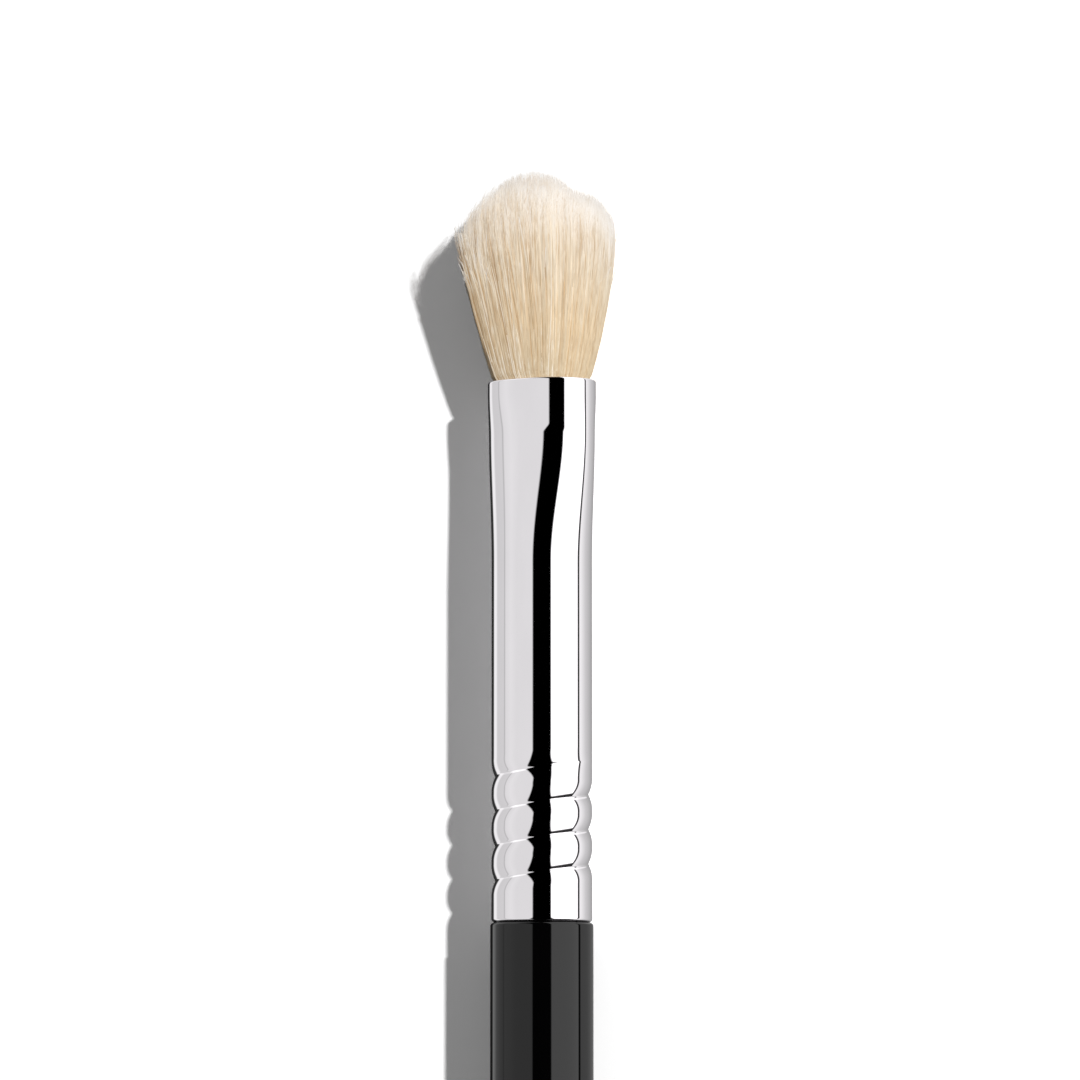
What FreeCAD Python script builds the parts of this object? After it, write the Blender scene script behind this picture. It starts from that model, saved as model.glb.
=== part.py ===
import FreeCAD, Part
import math
import os
import re
import Sketcher

# Eyeshadow brush lying flat, in millimetres. The brush is drawn along Y with the tuft
# towards +Y and y = 0 at the shoulder where ferrule and handle meet. Every finished
# piece is then moved as one, so that the brush rests on z = 0 with its middle at y = 0.

DRIVING = [
    ("handle_length", 127.0, "shoulder to tail"),
    ("handle_radius", 3.65, "straight length next to the ferrule"),
    ("straight_length", 30.0, "length of handle that does not taper"),
    ("tail_radius", 2.3, "round end of the handle"),
    ("lacquer", 0.28, "thickness of the black coats"),
    ("edge_share", 0.88, "rounded part of a thin edge at the shoulder"),
    ("tenon_share", 0.44, "part of the ferrule that the tenon fills"),
    ("tenon_chamfer", 0.5, "lead-in at the end of the tenon"),
    ("glue_gap", 0.1, "space for adhesive round the tenon"),
    ("ferrule_length", 38.5, "shoulder to mouth"),
    ("ferrule_radius", 3.57, "round part of the ferrule"),
    ("ferrule_wall", 0.3, "thickness of the brass"),
    ("mouth_width", 8.0, "wide way across the oval mouth"),
    ("press_depth", 0.24, "flattening of the mouth beyond a plain squeeze of the tube"),
    ("pinch_length", 3.7, "length of the pressed flats"),
    ("blend_length", 9.0, "from round tube to pressed flats"),
    ("crimp_pitch", 2.46, "advance of the rolled spiral per turn"),
    ("crimp_turns", 3.75, "turns of the rolled spiral"),
    ("crimp_depth", 0.29, "depth of the spiral"),
    ("crimp_start", 2.1, "height of the lower end of the spiral"),
    ("crimp_share", 0.46, "half width of the spiral as a share of its pitch"),
    ("crimp_lip", 0.02, "overrun where the spiral leaves the tube"),
    ("bite_gap", 0.06, "space round the spiral in the tenon"),
    ("fit_gap", 0.05, "space between pieces that touch in the real brush"),
    ("hair_length", 14.5, "mouth to tip of the tuft"),
    ("hair_width", 11.8, "widest part of the tuft"),
    ("hair_depth", 8.4, "thickness of the tuft there"),
    ("belly_height", 9.5, "mouth to the widest part"),
    ("resin_floor", 2.5, "resin between tenon and hair"),
    ("bundle_radius", 2.6, "tied hair bundle"),
    ("thread_size", 0.36, "diameter of the binding thread"),
    ("thread_pitch", 0.85, "advance of the thread per turn"),
    ("thread_turns", 4.0, "turns of the thread"),
    ("thread_margin", 0.9, "bundle beyond the first and last turn"),
    ("bend_height", 2.6, "mouth to the line about which the hair bends"),
    ("bend_gap", 0.3, "space between bending and fixed hair"),
]

# Share of the height to the widest part of the tuft, and share of the flare reached there
FLARE = [(0.25, 0.32), (0.5, 0.58), (0.75, 0.8)]
# Angles of the sections that round the tuft off above its widest part
DOME_ANGLES = [30, 55, 74, 86]

DERIVED = [
    ("lacquer_edge", "=lacquer * edge_share"),
    ("ferrule_edge", "=ferrule_wall * edge_share"),
    ("tenon_length", "=ferrule_length * tenon_share"),
    ("bore_radius", "=ferrule_radius - ferrule_wall"),
    ("tenon_radius", "=bore_radius - glue_gap"),
    ("mouth_half_width", "=mouth_width / 2"),
    ("mouth_half_depth", "=2 * ferrule_radius - mouth_half_width - press_depth"),
    ("pinch_line", "=ferrule_length - pinch_length"),
    ("blend_line", "=pinch_line - blend_length"),
    ("inner_half_width", "=mouth_half_width - ferrule_wall"),
    ("inner_half_depth", "=mouth_half_depth - ferrule_wall"),
    ("neck_half_width", "=inner_half_width - fit_gap"),
    ("neck_half_depth", "=inner_half_depth - fit_gap"),
    ("glue_line", "=crimp_start + crimp_pitch * (crimp_turns + crimp_share) + fit_gap"),
    ("resin_line", "=tenon_length + fit_gap"),
    ("root_line", "=resin_line + resin_floor"),
    ("winding_length", "=thread_pitch * thread_turns"),
    ("bundle_top", "=root_line + winding_length + 2 * thread_margin"),
    ("resin_top", "=min(blend_line; bundle_top) - fit_gap"),
    ("waist_radius", "=bundle_radius - thread_size"),
    ("thread_radius", "=waist_radius + thread_size / 2 + fit_gap / 2"),
    ("bend_line", "=ferrule_length + bend_height"),
    ("trough_radius", "=sqrt(neck_half_width ^ 2 + bend_height ^ 2) + bend_gap"),
    ("rest_height", "=max(hair_depth / 2; handle_radius)"),
    ("rest_shift", "=(handle_length - ferrule_length - hair_length) / 2"),
]

doc = FreeCAD.newDocument("eyeshadow_brush")
sheet = doc.addObject("Spreadsheet::Sheet", "sizes")


# Sheet of sizes

def fill_sheet():
    row = 0
    for alias, value, note in DRIVING:
        row += 1
        sheet.set(f"A{row}", note)
        sheet.set(f"B{row}", str(value))
        sheet.setAlias(f"B{row}", alias)
    doc.recompute()
    for alias, formula in DERIVED:
        row += 1
        sheet.set(f"B{row}", formula)
        sheet.setAlias(f"B{row}", alias)
        doc.recompute()


def size(alias):
    return float(getattr(sheet, alias))


def bound(text):
    """Expression text with every alias read from the sheet."""
    names = {row[0] for row in DRIVING + DERIVED}
    return re.sub(r"[a-z_]+", lambda word: f"sizes.{word[0]}" if word[0] in names else word[0], text)


def bind(thing, **sizes):
    for prop, text in sizes.items():
        thing.setExpression(prop.replace("__", "."), bound(text))


def rest(thing, label):
    """Name a finished piece and set it down in the frame of the part."""
    thing.Label = label
    bind(thing, Placement__Base__y="rest_shift", Placement__Base__z="rest_height")
    return thing


# Plain shapes along the brush

def along_brush(turn=0.0):
    """Rotation that lays a shape's own Z along the brush, turned first about its own Z."""
    lay = FreeCAD.Rotation(FreeCAD.Vector(1, 0, 0), -90)
    return lay.multiply(FreeCAD.Rotation(FreeCAD.Vector(0, 0, 1), turn))


def rod(name, radius, start, length):
    thing = doc.addObject("Part::Cylinder", name)
    thing.Placement = FreeCAD.Placement(FreeCAD.Vector(), along_brush())
    bind(thing, Radius=radius, Height=length, Placement__Base__y=start)
    return thing


def oval(name, half_width, half_depth, start, wide):
    """Oval section across the brush. A false wide says that it is deeper than it is wide."""
    thing = doc.addObject("Part::Ellipse", name)
    thing.Placement = FreeCAD.Placement(FreeCAD.Vector(), along_brush(0 if wide else 90))
    longer, shorter = (half_width, half_depth) if wide else (half_depth, half_width)
    bind(thing, MajorRadius=longer, MinorRadius=shorter, Placement__Base__y=start)
    return thing


def loft(name, sections, ruled):
    thing = doc.addObject("Part::Loft", name)
    thing.Sections = sections
    thing.Solid = True
    thing.Ruled = ruled
    return thing


def cut(name, base, tool):
    thing = doc.addObject("Part::Cut", name)
    thing.Base = base
    thing.Tool = tool
    return thing


def fuse(name, base, tool):
    thing = doc.addObject("Part::Fuse", name)
    thing.Base = base
    thing.Tool = tool
    return thing


def spiral(name, section, radius, pitch, turns, start, turn):
    """Section swept along a right-handed spiral about the brush."""
    path = doc.addObject("Part::Helix", f"{name}_path")
    path.SegmentLength = 0
    bind(path, Radius=radius, Pitch=pitch, Height=f"{pitch} * {turns}")
    doc.recompute()
    sweep = doc.addObject("Part::Sweep", name)
    sweep.Sections = [section]
    sweep.Spine = (path, [f"Edge{i + 1}" for i in range(len(path.Shape.Edges))])
    sweep.Solid = True
    sweep.Frenet = True
    sweep.Placement = FreeCAD.Placement(FreeCAD.Vector(), along_brush(turn))
    bind(sweep, Placement__Base__y=start)
    return sweep


# Sketches

def own_plane(body, role):
    return next(feature for feature in body.Origin.OriginFeatures if feature.Role == role)


def sketch_on(body, name, role):
    sketch = body.newObject("Sketcher::SketchObject", name)
    sketch.AttachmentSupport = [(own_plane(body, role), "")]
    sketch.MapMode = "FlatFace"
    return sketch


def measure(sketch, constraint, name, text):
    """Add a dimension to a sketch and bind it to the sheet."""
    index = sketch.addConstraint(constraint)
    sketch.renameConstraint(index, name)
    sketch.setExpression(f"Constraints.{name}", bound(text))


def handle_outline(body, name, inset, depth):
    """Half outline of the handle, kept inside its outer face by the inset."""
    radius = size("handle_radius") - depth
    tail = size("tail_radius") - depth
    straight = size("straight_length")
    tail_centre = size("handle_length") - size("tail_radius")
    drop = tail_centre - straight
    bow = (radius ** 2 + drop ** 2 - tail ** 2) / (2 * (radius - tail))
    lean = math.atan2(drop, bow - radius)
    across = FreeCAD.Vector(0, 0, 1)
    point = FreeCAD.Vector
    sketch = sketch_on(body, name, "XY_Plane")
    top = sketch.addGeometry(Part.LineSegment(point(0, 0, 0), point(radius, 0, 0)))
    side = sketch.addGeometry(Part.LineSegment(point(radius, 0, 0), point(radius, -straight, 0)))
    bow_circle = Part.Circle(point(radius - bow, -straight, 0), across, bow)
    taper = sketch.addGeometry(Part.ArcOfCircle(bow_circle, -lean, 0))
    tail_circle = Part.Circle(point(0, -tail_centre, 0), across, tail)
    end = sketch.addGeometry(Part.ArcOfCircle(tail_circle, -math.pi / 2, -lean))
    axis = sketch.addGeometry(Part.LineSegment(point(0, -tail_centre - tail, 0), point(0, 0, 0)))
    sketch.addConstraint(Sketcher.Constraint("Coincident", top, 1, -1, 1))
    sketch.addConstraint(Sketcher.Constraint("Horizontal", top))
    sketch.addConstraint(Sketcher.Constraint("Coincident", top, 2, side, 1))
    sketch.addConstraint(Sketcher.Constraint("Vertical", side))
    sketch.addConstraint(Sketcher.Constraint("Tangent", side, 2, taper, 2))
    sketch.addConstraint(Sketcher.Constraint("Tangent", taper, 1, end, 2))
    sketch.addConstraint(Sketcher.Constraint("Coincident", end, 1, axis, 1))
    sketch.addConstraint(Sketcher.Constraint("Coincident", axis, 2, top, 1))
    sketch.addConstraint(Sketcher.Constraint("Vertical", axis))
    sketch.addConstraint(Sketcher.Constraint("PointOnObject", end, 3, -2))
    measure(sketch, Sketcher.Constraint("DistanceX", top, 1, top, 2, radius), "half_width",
            f"handle_radius - {inset}")
    measure(sketch, Sketcher.Constraint("DistanceY", side, 2, side, 1, straight), "straight",
            "straight_length")
    measure(sketch, Sketcher.Constraint("DistanceY", end, 3, -1, 1, tail_centre), "tail_centre",
            "handle_length - tail_radius")
    measure(sketch, Sketcher.Constraint("Radius", end, tail), "tail", f"tail_radius - {inset}")
    return sketch


def turned(body, kind, name, sketch):
    """Turn an outline about the brush, as a Revolution or a Groove."""
    feature = body.newObject(f"PartDesign::{kind}", name)
    feature.Profile = sketch
    feature.ReferenceAxis = (sketch, ["V_Axis"])
    feature.Angle = 360
    doc.recompute()
    return feature


def rim(feature, radius, height):
    """Name of the round edge of that radius at that height."""
    for index, edge in enumerate(feature.Shape.Edges):
        curve = edge.Curve
        if not isinstance(curve, Part.Circle):
            continue
        if abs(curve.Radius - radius) < 1e-4 and abs(curve.Center.y - height) < 1e-4:
            return f"Edge{index + 1}"
    raise ValueError("no such rim")


# Rolled spiral that holds ferrule and handle together

def spiral_tool(name, offset, reach):
    """Solid with the form of the rolled spiral, moved inwards by the offset."""
    half = size("crimp_share") * size("crimp_pitch")
    drop = size("crimp_depth") + size("crimp_lip")
    crown = size("ferrule_radius") + size("crimp_lip") - offset
    bead = (drop ** 2 + half ** 2) / (2 * drop)
    swing = math.asin(half / bead) / 2
    middle_radius = crown - bead + bead * math.cos(swing)
    middle_height = half - bead * math.sin(swing)
    valley = FreeCAD.Vector(crown - drop, 0, 0)
    upper_middle = FreeCAD.Vector(middle_radius, 0, middle_height)
    lower_middle = FreeCAD.Vector(middle_radius, 0, -middle_height)
    upper = FreeCAD.Vector(crown, 0, half)
    lower = FreeCAD.Vector(crown, 0, -half)
    upper_back = FreeCAD.Vector(crown + reach, 0, half)
    lower_back = FreeCAD.Vector(crown + reach, 0, -half)
    outline = Part.Wire([
        Part.Arc(valley, upper_middle, upper).toShape(),
        Part.makeLine(upper, upper_back),
        Part.makeLine(upper_back, lower_back),
        Part.makeLine(lower_back, lower),
        Part.Arc(lower, lower_middle, valley).toShape(),
    ])
    section = doc.addObject("Part::Feature", f"{name}_section")
    section.Shape = outline
    turn = -360 * size("crimp_turns")
    return spiral(name, section, "ferrule_radius", "crimp_pitch", "crimp_turns", "crimp_start", turn)


# Pieces

def make_handle_core():
    body = doc.addObject("PartDesign::Body", "handle_blank")
    outline = handle_outline(body, "core_outline", "lacquer", size("lacquer"))
    turned(body, "Revolution", "core_turned", outline)
    circle = sketch_on(body, "tenon_circle", "XZ_Plane")
    across = FreeCAD.Vector(0, 0, 1)
    ring = circle.addGeometry(Part.Circle(FreeCAD.Vector(), across, size("tenon_radius")))
    circle.addConstraint(Sketcher.Constraint("Coincident", ring, 3, -1, 1))
    measure(circle, Sketcher.Constraint("Radius", ring, size("tenon_radius")), "tenon", "tenon_radius")
    tenon = body.newObject("PartDesign::Pad", "tenon")
    tenon.Profile = circle
    tenon.Reversed = True
    bind(tenon, Length="tenon_length")
    doc.recompute()
    chamfer = body.newObject("PartDesign::Chamfer", "tenon_lead_in")
    chamfer.Base = (tenon, [rim(tenon, size("tenon_radius"), size("tenon_length"))])
    bind(chamfer, Size="tenon_chamfer")
    doc.recompute()
    bite = spiral_tool("tenon_bite", size("ferrule_wall") + size("bite_gap"), size("ferrule_wall"))
    return rest(cut("handle_core", body, bite), "handle_core")


def make_handle_lacquer():
    body = doc.addObject("PartDesign::Body", "handle_lacquer")
    outer = handle_outline(body, "coat_outline", "0", 0.0)
    turned(body, "Revolution", "coat_turned", outer)
    inner = handle_outline(body, "coat_inside", "lacquer", size("lacquer"))
    coat = turned(body, "Groove", "coat_hollow", inner)
    edge = body.newObject("PartDesign::Fillet", "coat_edge")
    edge.Base = (coat, [rim(coat, size("handle_radius"), 0)])
    bind(edge, Radius="lacquer_edge")
    doc.recompute()
    return rest(body, "handle_lacquer")


def make_tenon_glue():
    length = "tenon_length - tenon_chamfer - glue_line"
    outer = rod("glue_outside", "bore_radius - fit_gap / 4", "glue_line", length)
    inner = rod("glue_inside", "tenon_radius + fit_gap / 4", "glue_line", length)
    return rest(cut("tenon_glue", outer, inner), "tenon_glue")


def pinched_form(name, inset, wide):
    """Outside of the ferrule's pinched end, or its bore where the inset is the wall."""
    neck = oval(f"{name}_neck", f"ferrule_radius - {inset}", f"ferrule_radius - {inset}",
                "blend_line", wide)
    pinch = oval(f"{name}_pinch", f"mouth_half_width - {inset}", f"mouth_half_depth - {inset}",
                 "pinch_line", wide)
    mouth = oval(f"{name}_mouth", f"mouth_half_width - {inset}", f"mouth_half_depth - {inset}",
                 "ferrule_length", wide)
    return loft(name, [neck, pinch, mouth], True)


def make_ferrule():
    wide = size("mouth_half_width") >= size("mouth_half_depth")
    outside = rod("barrel_outside", "ferrule_radius", "0", "blend_line")
    doc.recompute()
    rounded = doc.addObject("Part::Fillet", "barrel_rounded")
    rounded.Base = outside
    foot = int(rim(outside, size("ferrule_radius"), 0)[len("Edge"):])
    rounded.Edges = [(foot, size("ferrule_edge"), size("ferrule_edge"))]
    barrel = cut("barrel", rounded, rod("barrel_bore", "bore_radius", "0", "blend_line"))
    ridge = spiral_tool("barrel_ridge", size("ferrule_wall"), size("ferrule_wall") / 2)
    groove = spiral_tool("barrel_groove", 0.0, size("ferrule_wall"))
    crimped = cut("barrel_crimped", fuse("barrel_ridged", barrel, ridge), groove)
    pinched = cut("pinched_end", pinched_form("pinched_outside", "0", wide),
                  pinched_form("pinched_bore", "ferrule_wall", wide))
    return rest(fuse("ferrule", crimped, pinched), "ferrule")


def make_epoxy_plug():
    plug = rod("resin_outside", "bore_radius - fit_gap", "resin_line", "resin_top - resin_line")
    hollow = rod("resin_hollow", "bundle_radius + fit_gap", "root_line - fit_gap", "ferrule_length")
    return rest(cut("epoxy_plug", plug, hollow), "epoxy_plug")


def two_arcs(start, start_way, end, end_way):
    """Two arcs that leave the start along one direction and reach the end along the other."""
    span = end - start
    ways = start_way + end_way
    bend = 2 * (1 - start_way.dot(end_way))
    reach = (math.sqrt(span.dot(ways) ** 2 + bend * span.dot(span)) - span.dot(ways)) / bend
    first_corner = start + start_way * reach
    second_corner = end - end_way * reach
    middle = (first_corner + second_corner) * 0.5
    arcs = []
    for near, corner, far in ((start, first_corner, middle), (middle, second_corner, end)):
        chord_middle = (near + far) * 0.5
        half_chord = (far - near).Length / 2
        rise = corner - chord_middle
        bulge = half_chord * (reach - half_chord) / rise.Length
        crest = chord_middle + rise * (bulge / rise.Length)
        arcs.append(Part.Arc(near, crest, far).toShape())
    return arcs


def winding_path():
    """Middle line of the thread, in arcs over each quarter turn."""
    radius = size("thread_radius")
    pitch = size("thread_pitch")
    start = size("root_line") + size("thread_margin")
    quarters = max(1, round(4 * size("thread_turns")))
    climb = pitch / (2 * math.pi)
    points = []
    ways = []
    for quarter in range(quarters + 1):
        angle = 2 * math.pi * size("thread_turns") * quarter / quarters
        across = radius * math.cos(angle)
        rise = radius * math.sin(angle)
        points.append(FreeCAD.Vector(across, start + climb * angle, rise))
        ways.append(FreeCAD.Vector(-rise, climb, across).normalize())
    edges = []
    for quarter in range(quarters):
        edges += two_arcs(points[quarter], ways[quarter], points[quarter + 1], ways[quarter + 1])
    return Part.Wire(edges), points[0], ways[0]


def make_binding_thread():
    path, start, way = winding_path()
    section = Part.Wire([Part.Circle(start, way, size("thread_size") / 2).toShape()])
    thread = doc.addObject("Part::Feature", "binding_thread")
    thread.Shape = path.makePipeShell([section], True, False)
    print("space between turns of thread", round(size("thread_pitch") - size("thread_size"), 3))
    return rest(thread, "binding_thread")


def make_hair_root():
    wide = size("neck_half_width") >= size("neck_half_depth")
    bundle = rod("root_bundle", "bundle_radius", "root_line", "bundle_top - root_line")
    waist_start = "root_line + thread_margin - thread_size"
    waist_length = "winding_length + 2 * thread_size"
    band = rod("root_band", "bundle_radius + fit_gap", waist_start, waist_length)
    waist = rod("root_waist", "waist_radius", waist_start, waist_length)
    tied = cut("root_tied", bundle, cut("root_nip", band, waist))
    low = oval("root_low", "bundle_radius", "bundle_radius", "bundle_top", wide)
    middle = oval("root_middle", "neck_half_width", "neck_half_depth", "pinch_line", wide)
    high = oval("root_high", "neck_half_width", "neck_half_depth", "ferrule_length", wide)
    spread = loft("root_spread", [low, middle, high], True)
    trough = doc.addObject("Part::Cylinder", "root_trough")
    bind(trough, Radius="trough_radius", Height="4 * ferrule_radius", Placement__Base__y="bend_line",
         Placement__Base__z="-2 * ferrule_radius")
    return rest(cut("hair_root", fuse("root_whole", tied, spread), trough), "hair_root")


def make_hair_head():
    wide = size("hair_width") >= size("hair_depth")
    neck = ("neck_half_width", "neck_half_depth")
    belly = ("hair_width / 2", "hair_depth / 2")
    sections = [oval("head_foot", neck[0], neck[1], "ferrule_length", wide)]
    for index, (height, share) in enumerate(FLARE):
        halves = [f"{low} + {share} * ({high} - {low})" for low, high in zip(neck, belly)]
        level = f"ferrule_length + {height} * belly_height"
        sections.append(oval(f"head_flare_{index + 1}", halves[0], halves[1], level, wide))
    sections.append(oval("head_belly", belly[0], belly[1], "ferrule_length + belly_height", wide))
    for index, angle in enumerate(DOME_ANGLES):
        halves = [f"{half} * cos({angle} deg)" for half in belly]
        rise = f"(hair_length - belly_height) * sin({angle} deg) / sin({DOME_ANGLES[-1]} deg)"
        level = f"ferrule_length + belly_height + {rise}"
        sections.append(oval(f"head_dome_{index + 1}", halves[0], halves[1], level, wide))
    dome = loft("head_dome", sections, False)
    head = doc.addObject("Part::Refine", "hair_head")
    head.Source = dome
    return rest(head, "hair_head")


# Build and write out

def check(pieces):
    for thing in doc.Objects:
        bad = [word for word in thing.State if word in ("Invalid", "Error")]
        if bad:
            raise RuntimeError(f"{thing.Name} is {bad}")
    for thing in pieces:
        shape = thing.Shape
        if shape.isNull() or not shape.isValid() or len(shape.Solids) != 1:
            raise RuntimeError(f"{thing.Label} is not one sound solid")


fill_sheet()
pieces = [
    make_handle_core(),
    make_handle_lacquer(),
    make_tenon_glue(),
    make_ferrule(),
    make_epoxy_plug(),
    make_binding_thread(),
    make_hair_root(),
    make_hair_head(),
]
doc.recompute()
check(pieces)
os.makedirs("parts", exist_ok=True)
for piece in pieces:
    box = piece.Shape.optimalBoundingBox(False)
    print(piece.Label, round(piece.Shape.Volume, 2), [round(v, 3) for v in (
        box.XMin, box.XMax, box.YMin, box.YMax, box.ZMin, box.ZMax)])
    piece.Shape.exportStep(f"parts/{piece.Label}.step")
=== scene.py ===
import math

import bpy
import numpy as np
from mathutils import Matrix, Vector


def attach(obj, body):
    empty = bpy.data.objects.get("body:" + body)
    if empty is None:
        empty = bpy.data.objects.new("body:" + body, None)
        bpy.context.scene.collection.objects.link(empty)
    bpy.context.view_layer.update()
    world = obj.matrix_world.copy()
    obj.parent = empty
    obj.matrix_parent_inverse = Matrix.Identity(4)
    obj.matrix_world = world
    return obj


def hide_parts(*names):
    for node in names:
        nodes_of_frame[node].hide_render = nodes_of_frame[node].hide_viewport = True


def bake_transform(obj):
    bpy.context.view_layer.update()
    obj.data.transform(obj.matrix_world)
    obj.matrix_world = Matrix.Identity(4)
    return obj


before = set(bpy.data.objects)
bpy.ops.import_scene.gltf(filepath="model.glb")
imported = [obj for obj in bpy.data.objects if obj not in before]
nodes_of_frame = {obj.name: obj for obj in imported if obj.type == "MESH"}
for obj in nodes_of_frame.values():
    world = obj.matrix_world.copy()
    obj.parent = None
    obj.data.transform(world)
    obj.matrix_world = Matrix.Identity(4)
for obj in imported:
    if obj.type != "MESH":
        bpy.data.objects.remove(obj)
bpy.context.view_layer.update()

# Eyeshadow brush lying on a pale floor. Lengths are millimetres, turned into metres when a mesh is made.
MM = 0.001
AXIS_HEIGHT = 4.2        # middle line of the brush above the floor
SHOULDER = 37.0          # place along Y where handle and ferrule meet

# Handle
HANDLE_LENGTH = 127.0
HANDLE_RADIUS = 3.65
STRAIGHT_LENGTH = 30.0
STRAIGHT_START = 0.5     # first ring below the rounded edge
TAIL_RADIUS = 2.3
TAIL_END = 0.02          # radius of the last ring, which a cap closes
FOOT_GAP = 0.04          # half of the dark joint between ferrule and handle
JOINT_RISE = 0.9         # share of that half by which the floor of the joint goes up
JOINT_DEPTHS = (0.36, 0.24, 0.22)    # depth of the coat's inner edge, of the joint's floor and of its rim
EDGE_RADIUS = 0.2        # rounded edges of handle and ferrule at the joint
HANDLE_RINGS = (7, 24, 72, 18)       # along the edge, the straight length, the taper and the tail
HANDLE_COLUMNS = 144

# Ferrule, with heights from the shoulder
FERRULE_LENGTH = 38.5
FERRULE_RADIUS = 3.57
FERRULE_WALL = 0.3
FERRULE_COLUMNS = 160
EDGE_RINGS = 6
LIP_RINGS = 11
PINCH_LINE = 34.8        # lower end of the pressed flats
BLEND_LINE = 25.4        # lower end of the change from round to oval
PINCHED_WIDTH = 3.96     # half width and half depth below the pressed flats
PINCHED_DEPTH = 3.01
PRESSED_WIDTH = 4.0      # half width and half depth at the pressed flats
PRESSED_DEPTH = 2.88
PINCHED_POWER = 2.1      # 2 is an oval, more has flatter faces
PRESSED_POWER = 2.75
CREASE_START = (0.25, 0.35)          # angle where the sharp crease starts, and width of its start
CREASE_END = (1.05, 0.3)             # the same for its end
PRESS_START = 0.25       # how far below the pinch line the pressing starts
PRESS_LENGTH = 3.1       # height over which it sets in beside the crease
CREASE_SHARPNESS = 2.45  # how much less that height is in the crease
RADIUS_ROUNDS = 8        # rounds of the search for a radius
CRIMP_START = 2.1
CRIMP_PITCH = 2.46
CRIMP_TURNS = 3.75
CRIMP_DEPTH = 0.29
CRIMP_HALF = 0.46 * CRIMP_PITCH
CRIMP_ROUND = 0.03       # rounding of the spiral's valley
CRIMP_FADE_IN = 0.12     # turns over which the spiral starts and ends
CRIMP_FADE_OUT = 0.22
CRIMP_OVERRUN = 0.06
# Rings of the outside and of the inside: first height, last height and step
OUTER_BANDS = [
    (0.35, 1.0, 0.15), (1.0, 12.7, 0.045), (12.8, BLEND_LINE, 0.5), (BLEND_LINE, PINCH_LINE - 0.6, 0.25),
    (PINCH_LINE - 0.5, PINCH_LINE + 0.6, 0.05), (PINCH_LINE + 0.7, FERRULE_LENGTH - 0.2, 0.25),
]
INNER_BANDS = [(FERRULE_LENGTH - 0.5, 12.7, -0.5), (12.6, 0.2, -0.1)]

# Tuft: height above the mouth, half width and half depth of the outermost hairs
FLARE = np.array([
    (-3.0, 3.40, 2.40),
    (-0.4, 3.46, 2.48),
    (0.0, 3.54, 2.56),
    (0.35, 3.76, 2.80),
    (1.0, 3.96, 2.98),
    (2.5, 4.40, 3.24),
    (4.0, 4.78, 3.46),
    (6.0, 5.22, 3.76),
    (8.0, 5.66, 4.02),
    (9.5, 5.88, 4.13),
    (11.0, 5.95, 4.14),
    (15.0, 5.98, 4.14),
])
BELLY = 9.5
TIP = 14.75
LEAN = -0.32             # sideways lean at the belly, towards the picture's left
LEAN_POWER = 1.4
LEAN_MOST = 1.6          # height in bellies above which it leans no further
DOME_POWER = 2.8         # 2 is a round dome, more is fuller in the thin direction of the tuft
DOME_EDGE = 0.97         # where the dome ends, 1 is level with the belly
FLOOR_ROOM = 0.06        # lowest place of a hair's middle above the floor
LEFT_ACROSS = 0.93       # parts of a place's distance to the left in the picture
LEFT_THROUGH = 0.36
WAVES = (0.16, 0.12)     # heights of two gentle waves in the dome
LEFT_DROP = 1.05         # how much lower the dome is at the left, from which place and over which width
LEFT_DROP_PLACE = (0.37, 0.5)
NOTCH = 0.42             # shallow notch right of the tip, its middle and width
NOTCH_PLACE = (-0.49, 0.12)

# Hairs, with places in the tuft from -1 to 1 across its width and its depth
HAIR_SEED = 418
SIDES = 3
CLUMPS = 320
CLUMP_RING = (0.70, 1.0)             # squares of the clumps' least and largest distance from the middle
CLUMP_TILT = 0.06
CLUMP_REACH = 0.3
ROOT_SPREAD = 0.05
HAIR_GROUPS = ((0, 5), (6, 11), (12, 15))    # hairs of each piece, out of every 16 in turn
GROUP_TURN = 16
TAPER = 0.82             # share of the thickness that is lost at the tip
TAPER_START = 0.5
THICKNESS = (0.85, 1.15)
LATE = 1.3               # how late a hair bends to its end, 1 is evenly
SHELL_STRANDS = 4800     # hairs of the outside, whole length
SHELL_RADIUS = 0.038
SHELL_EDGE = 0.985       # place of the outermost roots
SHELL_SHARES = np.array([0.0, 0.035, 0.11, 0.25, 0.45, 0.64, 0.77, 0.86, 0.94, 1.0])
SHELL_TILT = 0.034
SHELL_SWAY = 0.016
SHELL_SHORTER = 0.36     # spread of the lengths, and what is added to all
SHELL_LONGER = 0.14
CLUMP_LONGER = 0.7       # share of a clump's reach that its hairs take
ROOT_DEPTH = 1.6
FAN = 0.17               # how far the upper hairs fan out to the left, and where
FAN_PLACE = (0.3, 0.35)
FAN_FRONT = (-0.2, 0.8)
STRAY_SIDE = 0.72        # place towards the left beyond which there are more stray hairs
STRAY_SHARES = (0.08, 0.006)
STRAY_TILT = 0.11
STRAY_TOPS = (-2.0, 2.2)             # ends of stray hairs, from the belly
STRAY_REACH = (1.0, 1.1)
STRAY_LATE = 3.0
STRAY_THICK = 1.25
CROSSING_SHARE = 0.012   # hairs that lie across the others
CROSSING_SIDE = 0.1
CROSSING_TURN = 0.2
GATHER = (0.15, 0.7)     # how far the hairs of a clump come together at their ends
CREST = (0.6, 0.95)      # how far out in the thin direction a hair's place on the dome is
FRAYED = 0.3             # uneven ends at the left, and where
FRAYED_PLACE = (0.5, 0.2)
DOME_STRANDS = 9000      # hairs of the middle, which show at their tips
DOME_RADIUS = 0.032
DOME_DEPTH = 4.5         # length of the middle hairs outside the dense middle
DOME_SHARES = np.array([0.0, 0.3, 0.6, 0.82, 1.0])
DOME_OUT = 0.94          # square of the farthest end of a middle hair from the middle
DOME_ROOTS = 0.95
DOME_SWAY = 0.012
DOME_SHORTER = 0.26
DOME_LONGER = 0.12
DOME_SINK = 0.5          # how much lower the middle hairs end at the faces, and where
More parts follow.
